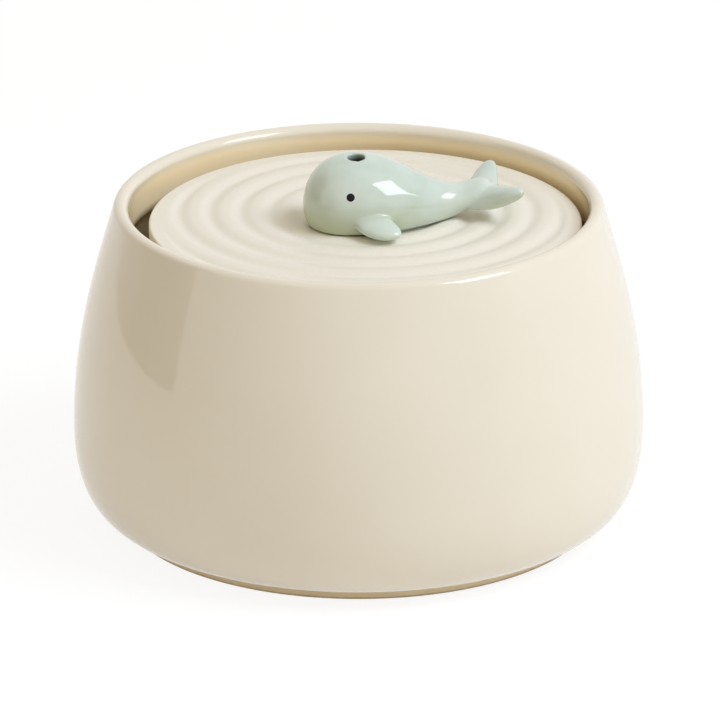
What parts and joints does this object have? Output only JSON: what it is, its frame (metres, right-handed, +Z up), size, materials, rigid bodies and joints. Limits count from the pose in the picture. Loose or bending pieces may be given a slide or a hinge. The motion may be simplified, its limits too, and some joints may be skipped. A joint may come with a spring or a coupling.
{
  "type": "pet water fountain",
  "caption": "Rounded ceramic bowl fountain with a rippled drinking plate and a small whale spout over a submersible pump and ring filter.",
  "frame": {"origin": "on the table under the middle of the bowl", "axes": "+Z up; the whale looks along -X and the cable leaves at +Y"},
  "size_m": [0.21, 0.21, 0.1395],
  "materials": {
    "cream_glaze": "glossy cream glaze",
    "cream_matte_glaze": "satin cream glaze",
    "celadon_glaze": "glossy sage green glaze",
    "white_silicone": "soft matt silicone",
    "grey_silicone": "soft matt silicone",
    "white_polypropylene": "satin moulded",
    "charcoal_abs": "satin moulded",
    "blue_acetal": "satin moulded",
    "filter_felt": "needled felt",
    "filter_foam": "open-cell foam",
    "carbon_granules": "loose granules",
    "silicon_steel": "stacked laminations",
    "enamelled_copper": "enamelled wire",
    "green_laminate": "solder-masked laminate",
    "black_epoxy": "cast resin",
    "alumina": "ground ceramic",
    "ferrite": "sintered ferrite"
  },
  "bodies": {
    "bowl_base": {"bowl": "cream_glaze", "foot_pads": "white_silicone", "cable_grommet": "white_silicone"},
    "filter_module": {"filter_basket": "white_polypropylene", "foam_sleeve": "filter_foam", "riser_tube": "white_silicone", "pump_housing": "charcoal_abs", "stator_core": "silicon_steel", "coil_bobbins": "white_polypropylene", "coil_windings": "enamelled_copper", "driver_board": "green_laminate", "potting_resin": "black_epoxy", "cable_gland": "grey_silicone", "pump_cover": "charcoal_abs", "cover_o_ring": "grey_silicone", "pump_shaft": "alumina", "front_bush": "grey_silicone", "rear_bush": "grey_silicone", "intake_guard": "charcoal_abs", "suction_cups": "grey_silicone"},
    "ring_cartridge": {"cartridge_base": "white_polypropylene", "cartridge_top": "white_polypropylene", "cartridge_ribs": "white_polypropylene", "cartridge_felt": "filter_felt", "cartridge_carbon": "carbon_granules"},
    "lid": {"basket_lid": "white_polypropylene", "plate_stand": "white_polypropylene", "plate_cushion": "white_silicone"},
    "plate": {"drinking_plate": "cream_matte_glaze", "spout_seal": "white_silicone"},
    "whale": {"whale_spout": "celadon_glaze"},
    "rotor": {"impeller": "blue_acetal", "rotor_magnet": "ferrite"},
    "dial": {"flow_dial": "blue_acetal"}
  },
  "joints": [
    {"name": "module_lift", "type": "slide", "parent": "bowl_base", "child": "filter_module", "axis": [0, 0, 1], "range_m": [0, 0.115]},
    {"name": "cartridge_lift", "type": "slide", "parent": "filter_module", "child": "ring_cartridge", "axis": [0, 0, 1], "range_m": [0, 0.085]},
    {"name": "lid_lift", "type": "slide", "parent": "ring_cartridge", "child": "lid", "axis": [0, 0, 1], "range_m": [0, 0.04]},
    {"name": "plate_lift", "type": "slide", "parent": "lid", "child": "plate", "axis": [0, 0, 1], "range_m": [0, 0.07]},
    {"name": "whale_lift", "type": "slide", "parent": "plate", "child": "whale", "axis": [0, 0, 1], "range_m": [0, 0.045]},
    {"name": "impeller_spin", "type": "hinge", "parent": "filter_module", "child": "rotor", "pos_m": [-0.0026, 0.001, 0.0345], "axis": [0, 1, 0], "continuous": true},
    {"name": "flow_dial_turn", "type": "hinge", "parent": "filter_module", "child": "dial", "pos_m": [-0.0026, 0.001, 0.0345], "axis": [0, 1, 0], "range_deg": [0, 45]}
  ]
}
